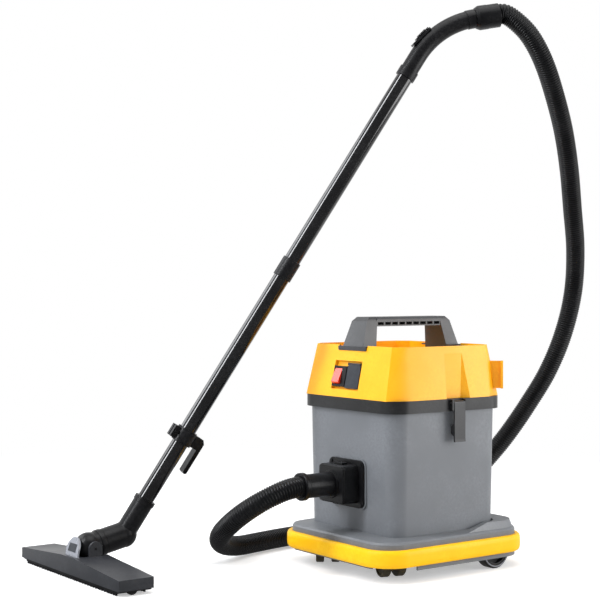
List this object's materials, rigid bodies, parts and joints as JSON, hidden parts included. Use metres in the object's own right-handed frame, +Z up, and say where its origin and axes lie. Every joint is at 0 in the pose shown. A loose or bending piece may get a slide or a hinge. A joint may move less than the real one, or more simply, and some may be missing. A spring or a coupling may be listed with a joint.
{
  "type": "vacuum cleaner",
  "caption": "Tub vacuum cleaner on castors, with a lift-off motor head, side latches, a carrying handle, a ribbed hose, a two-piece wand and a floor nozzle.",
  "frame": {"origin": "on the floor, under the middle of the box round everything but the hose", "axes": "+Z up; -Y is the machine's front, where the hose inlet and the switch are; +X is the machine's right as seen from the front, and the wand and nozzle lie to -X and -Y"},
  "size_m": [0.679, 1.2173, 1.2189],
  "materials": {
    "yellow_cover": "satin moulded plastic",
    "yellow_bumper": "satin moulded plastic",
    "grey_tub": "fine-textured moulded plastic",
    "grey_base": "fine-textured moulded plastic",
    "dark_grey": "fine-textured moulded plastic",
    "black_plastic": "satin moulded plastic",
    "black_gloss": "glossy moulded plastic",
    "nozzle_grey": "satin moulded plastic",
    "pedal_grey": "satin moulded plastic",
    "red_rocker": "glossy moulded plastic",
    "flap_blue_grey": "satin moulded plastic",
    "rubber_black": "matt rubber",
    "tyre_grey": "matt tyre rubber",
    "castor_tread": "matt grey-brown rubber",
    "hose_black": "satin ribbed hose",
    "steel": "plain steel",
    "motor_metal": "plain die-cast metal",
    "motor_core": "varnished laminations",
    "filter_cloth": "woven cloth",
    "filter_foam": "open fibre mat",
    "bag_paper": "soft paper fleece",
    "bristle_black": "dense bristles"
  },
  "bodies": {
    "machine": {"castor_base": "grey_base", "bumper": "yellow_bumper", "base_screws": "steel", "rear_axle": "steel", "axle_caps": "dark_grey", "tub": "grey_tub", "tub_seal": "rubber_black", "inlet_flange": "black_plastic", "inlet_screws": "steel", "connector_block": "black_plastic", "hose_cuff": "black_plastic", "hose": "hose_black", "cloth_filter": "filter_cloth", "dust_bag": "bag_paper", "hand_tube": "black_plastic", "swivel_collar": "black_plastic"},
    "castor_swivel_left": {"castor_fork_left": "black_plastic"},
    "castor_swivel_right": {"castor_fork_right": "black_plastic"},
    "castor_roll_left": {"castor_wheels_left": "castor_tread"},
    "castor_roll_right": {"castor_wheels_right": "castor_tread"},
    "rear_roll_left": {"rear_wheel_left": "dark_grey", "rear_tyre_left": "tyre_grey"},
    "rear_roll_right": {"rear_wheel_right": "dark_grey", "rear_tyre_right": "tyre_grey"},
    "release": {"release_tab": "black_plastic"},
    "head": {"motor_plate": "dark_grey", "latch_pins": "steel", "head_cover": "yellow_cover", "carry_handle": "dark_grey", "handle_screws": "steel", "switch_housing": "black_plastic", "brush_socket": "black_plastic", "cable_gland": "rubber_black", "exhaust_grille": "dark_grey", "exhaust_filter": "filter_foam", "motor_housing": "motor_metal", "motor_field": "motor_core", "motor_seal": "rubber_black", "filter_cage": "dark_grey"},
    "lever_left": {"latch_left": "dark_grey"},
    "lever_right": {"latch_right": "dark_grey"},
    "rocker": {"rocker_switch": "red_rocker"},
    "flap": {"socket_flap": "flap_blue_grey"},
    "rotor": {"motor_rotor": "motor_core"},
    "regulator": {"air_slide": "black_plastic"},
    "wand": {"upper_tube": "black_gloss", "lower_tube": "black_gloss", "tube_collar": "black_plastic", "nozzle_elbow": "black_plastic"},
    "clip": {"parking_clip": "black_plastic", "clip_screw": "steel"},
    "neck": {"nozzle_neck": "black_plastic", "neck_ring": "black_plastic"},
    "nozzle": {"nozzle_body": "nozzle_grey", "nozzle_sole": "black_plastic", "neck_pins": "steel"},
    "brush": {"brush_strips": "bristle_black"},
    "pedal": {"nozzle_pedal": "pedal_grey"},
    "wheel_left": {"nozzle_wheel_left": "rubber_black"},
    "wheel_right": {"nozzle_wheel_right": "rubber_black"}
  },
  "joints": [
    {"name": "castor_swivel_left_turn", "type": "hinge", "parent": "machine", "child": "castor_swivel_left", "pos_m": [0.0365, 0.1125, 0.058], "axis": [0, 0, 1], "continuous": true},
    {"name": "castor_swivel_right_turn", "type": "hinge", "parent": "machine", "child": "castor_swivel_right", "pos_m": [0.2645, 0.1125, 0.058], "axis": [0, 0, 1], "continuous": true},
    {"name": "castor_wheels_left_roll", "type": "hinge", "parent": "castor_swivel_left", "child": "castor_roll_left", "pos_m": [0.04944, 0.1031, 0.025], "axis": [0.5878, 0.809, 0], "continuous": true},
    {"name": "castor_wheels_right_roll", "type": "hinge", "parent": "castor_swivel_right", "child": "castor_roll_right", "pos_m": [0.24904, 0.11664, 0.025], "axis": [-0.2588, -0.9659, 0], "continuous": true},
    {"name": "rear_wheel_left_roll", "type": "hinge", "parent": "machine", "child": "rear_roll_left", "pos_m": [-0.0055, 0.3515, 0.04], "axis": [1, 0, 0], "continuous": true},
    {"name": "rear_wheel_right_roll", "type": "hinge", "parent": "machine", "child": "rear_roll_right", "pos_m": [0.3065, 0.3515, 0.04], "axis": [1, 0, 0], "continuous": true},
    {"name": "head_lift", "type": "slide", "parent": "machine", "child": "head", "axis": [0, 0, 1], "range_m": [0, 0.16]},
    {"name": "latch_left_swing", "type": "hinge", "parent": "head", "child": "lever_left", "pos_m": [-0.0155, 0.2445, 0.36], "axis": [0, 1, 0], "range_deg": [0, 60]},
    {"name": "latch_right_swing", "type": "hinge", "parent": "head", "child": "lever_right", "pos_m": [0.3165, 0.2445, 0.36], "axis": [0, -1, 0], "range_deg": [0, 60]},
    {"name": "rocker_tilt", "type": "hinge", "parent": "head", "child": "rocker", "pos_m": [0.1145, 0.08392, 0.41086], "axis": [1, 0, 0], "range_deg": [0, 20]},
    {"name": "flap_swing", "type": "hinge", "parent": "head", "child": "flap", "pos_m": [0.1645, 0.08931, 0.4379], "axis": [-1, 0, 0], "range_deg": [0, 100], "stiffness_Nm_per_rad": 0.02, "springref_deg": -20.05},
    {"name": "rotor_spin", "type": "hinge", "parent": "head", "child": "rotor", "pos_m": [0.1505, 0.2285, 0.4], "axis": [0, 0, 1], "continuous": true},
    {"name": "release_press", "type": "slide", "parent": "machine", "child": "release", "axis": [0, 0, -1], "range_m": [0, 0.003], "stiffness_N_per_m": 300},
    {"name": "regulator_slide", "type": "slide", "parent": "machine", "child": "regulator", "axis": [-0.3517, -0.6092, -0.7108], "range_m": [0, 0.012]},
    {"name": "wand_twist", "type": "hinge", "parent": "machine", "child": "wand", "pos_m": [0.18212, 0.21222, 1.05568], "axis": [0.2627, 0.4551, 0.8508], "range_deg": [-25, 25]},
    {"name": "clip_slide", "type": "slide", "parent": "wand", "child": "clip", "axis": [0.2627, 0.4551, 0.8508], "range_m": [0, 0.1]},
    {"name": "neck_twist", "type": "hinge", "parent": "wand", "child": "neck", "pos_m": [-0.1195, -0.3347, 0.07396], "axis": [0, 0.9799, 0.1994], "continuous": true},
    {"name": "nozzle_pitch", "type": "hinge", "parent": "neck", "child": "nozzle", "pos_m": [-0.1195, -0.3935, 0.062], "axis": [1, 0, 0], "range_deg": [-65, 0]},
    {"name": "pedal_rock", "type": "hinge", "parent": "nozzle", "child": "pedal", "pos_m": [-0.1195, -0.4305, 0.046], "axis": [1, 0, 0], "range_deg": [0, 12]},
    {"name": "brush_lift", "type": "slide", "parent": "nozzle", "child": "brush", "axis": [0, 0, 1], "range_m": [0, 0.006]},
    {"name": "nozzle_wheel_left_roll", "type": "hinge", "parent": "nozzle", "child": "wheel_left", "pos_m": [-0.3255, -0.4055, 0.012], "axis": [1, 0, 0], "continuous": true},
    {"name": "nozzle_wheel_right_roll", "type": "hinge", "parent": "nozzle", "child": "wheel_right", "pos_m": [0.0865, -0.4055, 0.012], "axis": [1, 0, 0], "continuous": true}
  ],
  "couplings": [
    {"joint": "brush_lift", "follows": "pedal_rock", "m_per_rad": 0.0286}
  ]
}
